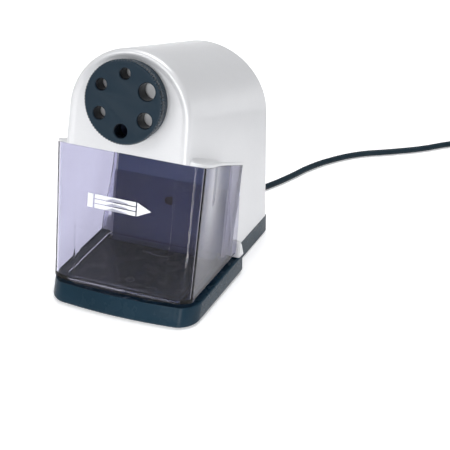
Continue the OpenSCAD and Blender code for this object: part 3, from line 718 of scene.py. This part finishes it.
def flank_strips(side):
    """Strips that join the recessed wall to the housing's side."""
    low_x, corner = FLANK_IN - 0.1, (FLANK_OUT + 1.2, WING_END + 2.9, 2.4)
    return [flank_block("end_strip", side, (low_x, WING_END + 0.05, -95), corner),
            flank_block("top_strip", side, (low_x, FLANK_FROM, 0.05), corner)]


def make_lug(side):
    """Rounded silver block that closes the step at the end of the base's wide part."""
    root, round_r = 43.6, 1.4
    rings = []
    for k in [0, 0.25, 0.5, 0.75, 0.9, 0.97, 1.0]:
        shrink = 0.9 * max(0, (k - 0.75) / 0.25) ** 2
        taper = 2.2 * k
        out = BASE_HALF - 0.6 * taper - shrink
        front = LUG_FRONT + LUG_LEAN * k + shrink
        back = BASE_STEP + 1.5 - 0.6 * k - shrink
        shape = [(root, front), (out - round_r, front)]
        for i in range(1, 7):
            a = math.radians(15 * i)
            shape.append((out - round_r + round_r * math.sin(a), front + round_r - round_r * math.cos(a)))
        shape += [(out, back - 0.6), (out - 0.6, back), (root, back + 1.5)]
        rings.append([mm(side * x, y, BASE_H + LUG_H * k) for x, y in shape])
    return loft("lug", rings)


def make_housing():
    """Arched shell: rolled front edge, thick seat behind the dial, flange, flanks, lugs and rear vents."""
    rear_round = 2.2
    roll = [(6.4, 0.0), (5.4, -0.12), (4.4, -0.5), (3.4, -0.78), (2.4, -0.72), (1.5, -0.3), (0.8, 0.4),
            (0.3, 1.4), (0.06, 2.4), (0.0, 3.6)]
    rings = [front_ring(inset, depth) for inset, depth in roll]
    near, far = rings[-1], rear_ring(0, rear_round)
    rings += [[p.lerp(q, k / BODY_STEPS) for p, q in zip(near, far)] for k in range(1, BODY_STEPS)]
    for k in range(7):
        a = math.radians(90 - 15 * k)
        rings.append(rear_ring(rear_round * (1 - math.sin(a)), rear_round * (1 - math.cos(a))))
    shell = loft("housing_shell", rings)
    over_base = block("over_base", (-150, -150, -150), (150, BASE_STEP + GAP, BASE_H + 0.1), mm)
    drawer_zone = combine(zone("drawer_zone"), [flank_wall(1), flank_wall(-1)], "DIFFERENCE")
    hollow = loft("hollow", [front_ring(WALL, WALL), rear_ring(WALL, WALL)])
    seat = bar("seat", (0, 0), SEAT_R, (1.4, 3.4), 96)
    combine(hollow, [seat, flank_wall(1), flank_wall(-1)] + flank_strips(1) + flank_strips(-1), "DIFFERENCE")
    combine(shell, [make_flange()], "UNION")
    combine(shell, [drawer_zone, below("floor", SHELL_LOW), over_base, hollow], "DIFFERENCE")
    combine(shell, [make_lug(1), make_lug(-1)], "UNION")
    cuts = [bar("bush_hole", (0, 0), BUSH_HOLE_R, (-5, 10)),
            bar("guide_hole", (0, -HOLE_PITCH), GUIDE_HOLE_R, (-5, 10), 72)]
    for low in range(VENT_LOW, VENT_HIGH + 1, VENT_PITCH):
        mid = low + VENT_R
        slot = arc((VENT_HALF, mid), VENT_R, -90, 22.5, 9) + arc((-VENT_HALF, mid), VENT_R, 90, 22.5, 9)
        cuts.append(loft("vent", [[mm(x, y, z) for x, z in slot] for y in (REAR_Y - 10, REAR_Y + 10)]))
    combine(shell, cuts, "DIFFERENCE")
    bevel(shell, 0.3, 2, 38)
    return finish_piece(shell, SILVER, "frame", "housing_silver", "housing")


make_housing()


# ---- base ----
def base_outline(inset, rake):
    """Plan of the base's wide part: bowed front, round corners, a small chamfer at the step."""
    half, corner = BASE_HALF - inset, BASE_CORNER - inset
    mid = half - corner
    front = BASE_FRONT + rake
    right = [(x, front + BASE_BOW * (x / half) ** 2) for x in [mid * i / 16 for i in range(17)]]
    start = right[-1][1]
    for i in range(1, 25):
        a = math.radians(-90 + 90 * i / 24)
        right.append((mid + corner * math.cos(a), start + (corner + 1.2) * (1 + math.sin(a))))
    right += [(half, -20), (half, BASE_STEP - 0.8 - inset), (half - 0.8, BASE_STEP - inset)]
    return right + [(-x, y) for x, y in reversed(right[1:])]


def make_base():
    """Bowed plinth with a rounded rim and a sunk deck, and the narrower part behind it."""
    # Inset, rake of the front and height of each ring
    levels = [(1.6, 1.4, FOOT_H), (0.7, 0.7, 1.3), (0.2, 0.2, 2.1), (0, 0, 3.2), (0, 2.4, 9),
              (0, 4.0, 13.1), (0.12, 4.15, 13.6), (0.45, 4.3, 14.0), (0.95, 4.4, BASE_H)]
    inner, floor_z = 43.8, 3.4
    front = loft("base_shell", [[mm(x, y, z) for x, y in base_outline(inset, rake)]
                                for inset, rake, z in levels])
    rear = block("rear", (-REAR_HALF, 0, FOOT_H), (REAR_HALF, REAR_Y, SHELL_LOW), mm)
    combine(front, [rear], "UNION")
    deck_plan = base_outline(1.5, 4.4)
    deck = loft("deck", [[mm(x, y, z) for x, y in deck_plan] for z in (BASE_H - 1.6, BASE_H + 5)])
    inside = block("inside", (-inner, -62, floor_z), (inner, 0, 11.8), mm)
    open_rear = block("open_rear", (-inner, 0, floor_z), (inner, REAR_Y - 2.4, 60), mm)
    cuts = [deck, inside, open_rear]
    for x in FEET_X:
        for y in FEET_Y:
            cuts.append(lathe("foot_seat", [(0, -1), (FOOT_R, -1), (FOOT_R, SEAT_DEPTH), (0, SEAT_DEPTH)],
                              lambda u, v, h, x=x, y=y: mm(x + u, y + v, h), 48))
    screw_seat = [(0, -1), (SCREW_HEAD_R, -1), (SCREW_HEAD_R, SEAT_DEPTH), (SCREW_R, SEAT_DEPTH),
                  (SCREW_R, 10), (0, 10)]
    for x in SCREWS_X:
        cuts.append(lathe("screw_seat", screw_seat,
                          lambda u, v, h, x=x: mm(x + u, SCREWS_Y + v, h), 32))
    cuts.append(lathe("lead_hole", [(0, -5), (4.2, -5), (4.2, 5), (0, 5)],
                      lambda u, v, h: mm(u, REAR_Y + h, LEAD_Z + v), 48))
    combine(front, cuts, "DIFFERENCE")
    bevel(front, 0.25, 2, 40)
    return finish_piece(front, CHARCOAL, "frame", "base_charcoal", "base")


make_base()


# ---- drawer ----
SWELL_TOP, SKIN_TOP = 72, 140


def drawer_ring(inset, z, half, rear):
    """The drawer's plan at a height, moved along with the slope of its front."""
    top = LEDGE_AT / MM
    shift = (z - top.z) * math.tan(DRAWER_TILT)
    return [mm(x, top.y + shift + depth, z) for x, depth in outline(half, rear, inset)]


def drawer_skin(name, inset, low):
    """The drawer's outer or inner skin: its rear corners swell towards the foot."""
    rings = []
    for z in [mix(low, SWELL_TOP, k / 8) for k in range(9)] + [SKIN_TOP]:
        swell = ease((SWELL_TOP - z) / (SWELL_TOP - DRAWER_LOW))
        half = CORNER_HALF - DRAFT * (CORNER_Z - z)
        rings.append(drawer_ring(inset, z, half, mix(FLUSH_HALF, FOOT_HALF, swell)))
    return loft(name, rings)


def pan(name, inset, low):
    """The shallow pan under the floor, with rounded corners."""
    back = (lean(0, DRAWER_BACK, -116) / MM).y
    half, front = PAN_HALF - inset, PAN_FRONT + inset
    rear, r = back - inset, 5.0 - inset
    shape = []
    for cx, cy, start in ((half - r, front + r, -90), (half - r, rear - r, 0),
                          (-half + r, rear - r, 90), (-half + r, front + r, 180)):
        shape += arc((cx, cy), r, start, 15, 7)
    return loft(name, [[mm(x, y, z) for x, y in shape] for z in (low, DRAWER_LOW + DRAWER_WALL + 0.2)])


def make_drawer():
    """Smoke-clear shavings drawer with its wings, pan and open top."""
    drawer = combine(drawer_skin("drawer_shell", 0, DRAWER_LOW), [pan("pan", 0, PAN_LOW)], "UNION")
    inner = combine(drawer_skin("inner", DRAWER_WALL, DRAWER_LOW + DRAWER_WALL),
                    [pan("inner_pan", 2, PAN_LOW + PAN_T)], "UNION")
    combine(inner, [behind("rear", DRAWER_BACK - DRAWER_WALL)], "DIFFERENCE")
    between = drawer_skin("between", DRAWER_WALL, DRAWER_LOW - 5)
    combine(between, [before("front", DRAWER_BACK)], "DIFFERENCE")
    mouth = block("mouth", (-42, -20, 62), (42, 60, 122), mm)
    combine(mouth, [before("front", DRAWER_BACK - 3)], "DIFFERENCE")
    top = block("top", (-FAR, -FAR, -GAP), (FAR, 220, FAR), ledge)
    end = block("end", (-FAR, WING_END - GAP, -190), (FAR, 260, 60), ledge)
    combine(drawer, [inner, between, mouth, top, end], "DIFFERENCE")
    bevel(drawer, 0.3, 2, 40)
    return finish_piece(drawer, SMOKE, "drawer", "drawer_smoke", "drawer")


make_drawer()


def ridge(name, path, closed, radius, z):
    """A half-round raised line moulded on the drawer's floor."""
    count = 10
    rings = []
    for k, (x, y) in enumerate(path):
        last = path[k - 1] if closed or k else path[k]
        following = path[(k + 1) % len(path)] if closed or k < len(path) - 1 else path[k]
        way = Vector((following[0] - last[0], following[1] - last[1], 0)).normalized()
        across = Vector((way.y, -way.x, 0))
        rings.append([mm(x, y, z) + MM * radius * (math.cos(2 * math.pi * i / count) * across
                                                   + Vector((0, 0, math.sin(2 * math.pi * i / count))))
                      for i in range(count)])
    obj = loft(name, rings, closed=closed)
    shade(obj, 60)
    return finish_piece(obj, SMOKE, "drawer", "drawer_smoke")


RIDGE_Z = PAN_LOW + PAN_T + 0.05
ridge("floor_slot", arc((7.4, -10), 3, -90, 22.5, 9) + arc((-7.4, -10), 3, 90, 22.5, 9), True, 0.7, RIDGE_Z)
ridge("floor_boss", arc((-1, -50.5), 2.6, 0, 15, 24), True, 0.6, RIDGE_Z)
ridge("floor_arc", arc((18, -58), 4, 20, 10, 15), False, 0.45, RIDGE_Z)

# ---- dial ----
DIAL_R, DIAL_OUT, DIAL_GAP = 27.4, 11.0, 0.4
HOLES = [9.6, 10.6, 12.0, 7.8, 8.2, 8.8]
RIBS, PER_RIB, RIB_DEPTH = 84, 6, 0.85
RIB_START = 6.8


def dial_point(x, y, h):
    """A point of the dial: x across, y up its face, h out of the face."""
    return lean(x, -h, y)


def hole_places():
    """Centre and radius of each pencil hole, from the lowest one round to the right."""
    for i, size in enumerate(HOLES):
        a = math.radians(60 * i - 90)
        yield HOLE_PITCH * math.cos(a), HOLE_PITCH * math.sin(a), size / 2


def make_dial():
    """Selector dial: ribbed grip at the front, plain band behind, six countersunk holes."""
    band, rib = DIAL_R - 1.0, DIAL_R
    # Depth, radius and share of the ribs' depth of each ring
    profile = [(-DIAL_GAP, band - 0.5, 0), (-DIAL_GAP, band - 0.1, 0), (-0.6, band, 0), (-6.6, band, 0),
               (-6.75, band + 0.3, 0.4), (-7.0, rib - 0.1, 1), (-7.3, rib, 1), (-10.2, rib, 1),
               (-10.5, rib - 0.2, 0.8), (-10.8, rib - 0.8, 0.2), (-DIAL_OUT, rib - 1.5, 0),
               (-DIAL_OUT, rib - 2.4, 0)]
    rings = []
    for depth, radius, notch in profile:
        ring = []
        for i in range(RIBS * PER_RIB):
            valley = (0.5 - 0.5 * math.cos(2 * math.pi * i / PER_RIB)) ** 1.6
            r = radius - RIB_DEPTH * notch * valley
            a = 2 * math.pi * i / (RIBS * PER_RIB)
            ring.append(dial_point(r * math.cos(a), r * math.sin(a), -depth))
        rings.append(ring)
    dial = loft("dial_knob", rings)
    boss = bar("boss", (0, 0), 5, (-1, 5.6))
    combine(dial, [boss], "UNION")
    cuts = [lathe("spring_groove", [(7, -4), (10.6, -4), (10.6, 3.4), (7, 3.4)], dial_point, 64),
            bar("screw_hole", (0, 0), 1.3, (-4, 8), 24)]
    for x, y, r in hole_places():
        profile = [(0, -3), (r, -3), (r, DIAL_OUT - 0.7), (r + 0.12, DIAL_OUT - 0.3),
                   (r + 0.4, DIAL_OUT - 0.08), (r + 0.8, DIAL_OUT + 0.02), (r + 0.8, DIAL_OUT + 1),
                   (0, DIAL_OUT + 1)]
        cuts.append(lathe("hole", profile, lambda u, v, h, x=x, y=y: dial_point(x + u, y + v, h), 64))
    combine(dial, cuts, "DIFFERENCE")
    shade(dial, 32)
    finish_piece(dial, DIAL, "dial", "dial_blue_black", "dial")
    dial.data.materials.append(DIAL_RIM)
    for face in dial.data.polygons:
        away = Vector(face.center) - FACE
        height = away.dot(OUT)
        if (away - height * OUT).length > (band + 0.05) * MM and height > RIB_START * MM:
            face.material_index = 1
    return dial


def make_hole_liners():
    """Glossy wall of each pencil hole, with a stepped lip."""
    liners = None
    for x, y, r in hole_places():
        profile = [(r - 0.02, 0.5), (r - 0.02, 10.0), (r - 0.15, 10.12), (r - 0.32, 10.0),
                   (r - 0.38, 9.4), (r - 0.38, 0.5)]
        ring = lathe("liner", profile, lambda u, v, h, x=x, y=y: dial_point(x + u, y + v, h), 64)
        if liners:
            bm = bmesh.new()
            bm.from_mesh(liners.data)
            bm.from_mesh(ring.data)
            bm.to_mesh(liners.data)
            bm.free()
            bpy.data.objects.remove(ring)
        else:
            liners = ring
    liners.name = "hole_liners"
    shade(liners, 40)
    return finish_piece(liners, GLOSS_BLACK, "dial", "dial_blue_black")


make_dial()
make_hole_liners()


# ---- printed mark ----
def make_mark():
    """White pictogram of a pencil, printed on the drawer's front wall: end, three faces and tip."""
    length, half, tip = 46.0, 4.6, 11.0
    ferrule, gap, line = 4, 1.2, 0.3
    centre_x, centre_z = -2.5, 76.0
    slope = math.tan(DRAWER_TILT)
    top = LEDGE_AT / MM

    def wall(x, z, proud):
        y = top.y + (z - top.z) * slope + FRONT_BOW * (x / CORNER_HALF) ** 2
        return mm(x, y - proud, z)

    def strip(x0, x1, low, high):
        return [(x0, low), (x1, low), (x1, high), (x0, high)]

    rear, shoulder = -length / 2, length / 2 - tip
    body = rear + ferrule + gap
    parts = [strip(rear, rear + ferrule, -half, half),
             strip(body, shoulder, -half, -half / 3 - line),
             strip(body, shoulder, -half / 3 + line, half / 3 - line),
             strip(body, shoulder, half / 3 + line, half),
             [(shoulder + 0.9, -half), (length / 2, 0), (shoulder + 0.9, half)]]
    verts, faces = [], []
    for shape in parts:
        fine = []
        for k, (x, z) in enumerate(shape):
            nx, nz = shape[(k + 1) % len(shape)]
            steps = max(1, int(abs(nx - x) / 3))
            fine += [(mix(x, nx, i / steps), mix(z, nz, i / steps)) for i in range(steps)]
        n, start = len(fine), len(verts)
        for proud in (-0.02, 0.06):
            verts += [wall(centre_x + x, centre_z + z, proud) for x, z in fine]
        faces.append(tuple(range(start, start + n)))
        faces.append(tuple(range(start + n, start + 2 * n)))
        for i in range(n):
            q = (i + 1) % n
            faces.append((start + i, start + q, start + n + q, start + n + i))
    obj = add("pencil_mark", verts, faces)
    return finish_piece(obj, PRINT, "drawer", "block_white")


make_mark()


# ---- floor, world and light: places in metres, power in watts ----
FLOOR_HALF = 3
GLOW_FROM, GLOW_TO, GLOW = -0.9, -0.3, 0.36
WALL_FROM, WALL_TO, WALL_DIM, WALL_BRIGHT = -0.9, 0.2, 0.22, 0.42


def set_range(node, *limits):
    """Sets a Map Range node's two limits of input, then its two of output."""
    for socket, value in zip(("From Min", "From Max", "To Min", "To Max"), limits):
        node.inputs[socket].default_value = value


def make_floor():
    """Plain white paper that glows towards the rear, so that it reads as an endless table."""
    f = FLOOR_HALF
    floor = loft("floor", [[(-f, -f, z), (f, -f, z), (f, f, z), (-f, f, z)] for z in (-0.02, -0.0002)])
    s = Shader("floor_paper", Roughness=0.9, Specular_IOR_Level=0.2)
    s.colour(s.noise(3, 2), (0.86, 0.86, 0.87), (0.90, 0.90, 0.91))
    s.principled.inputs["Emission Color"].default_value = (1, 1, 1, 1)
    split = s.tree.nodes.new("ShaderNodeSeparateXYZ")
    s.link(s.place, split.inputs["Vector"])
    glow = s.tree.nodes.new("ShaderNodeMapRange")
    set_range(glow, GLOW_FROM, GLOW_TO, 0.0, GLOW)
    s.link(split.outputs["Y"], glow.inputs["Value"])
    s.link(glow.outputs["Result"], s.principled.inputs["Emission Strength"])
    floor.data.materials.append(s.material)


def make_light(name, location, target, size, power):
    """Rectangular lamp at a place, turned towards a target."""
    data = bpy.data.lights.new(name, "AREA")
    data.shape = "RECTANGLE"
    data.size, data.size_y = size
    data.energy = power
    lamp = bpy.data.objects.new(name, data)
    lamp.location = location
    way = Vector(target) - Vector(location)
    lamp.rotation_mode = "QUATERNION"
    lamp.rotation_quaternion = way.to_track_quat("-Z", "Y")
    bpy.context.scene.collection.objects.link(lamp)
    return lamp


def make_world():
    """Studio walls: dim in front of the object and brighter behind it."""
    world = bpy.data.worlds.new("studio")
    bpy.context.scene.world = world
    world.use_nodes = True
    tree = world.node_tree
    background = tree.nodes["Background"]
    where = tree.nodes.new("ShaderNodeTexCoord")
    split = tree.nodes.new("ShaderNodeSeparateXYZ")
    ramp = tree.nodes.new("ShaderNodeMapRange")
    set_range(ramp, WALL_FROM, WALL_TO, WALL_DIM, WALL_BRIGHT)
    tree.links.new(where.outputs["Generated"], split.inputs["Vector"])
    tree.links.new(split.outputs["Y"], ramp.inputs["Value"])
    tree.links.new(ramp.outputs["Result"], background.inputs["Strength"])
    background.inputs["Color"].default_value = (0.97, 0.98, 1.0, 1)


make_floor()
make_world()
make_light("key", (-1.3, -2.1, 1.7), (0, 0, 0.08), (1.2, 1.2), 22)
make_light("front", (-0.1, -1.7, 0.6), (0, 0, 0.12), (0.3, 0.3), 6)
make_light("overhead", (0.1, 0.3, 1.6), (0, 0.05, 0.1), (0.9, 0.9), 16)
# Two upright tubes, which draw the bright lines down the drawer's round corner
for across, along, width, power in ((0.127, -0.298, 0.013, 0.16), (0.148, -0.291, 0.006, 0.05)):
    strip = make_light("strip", (across, along, 0.101), (0.046, -0.06, 0.101), (width, 0.2), power)
    strip.visible_camera = False
bpy.context.scene.view_settings.view_transform = "Standard"
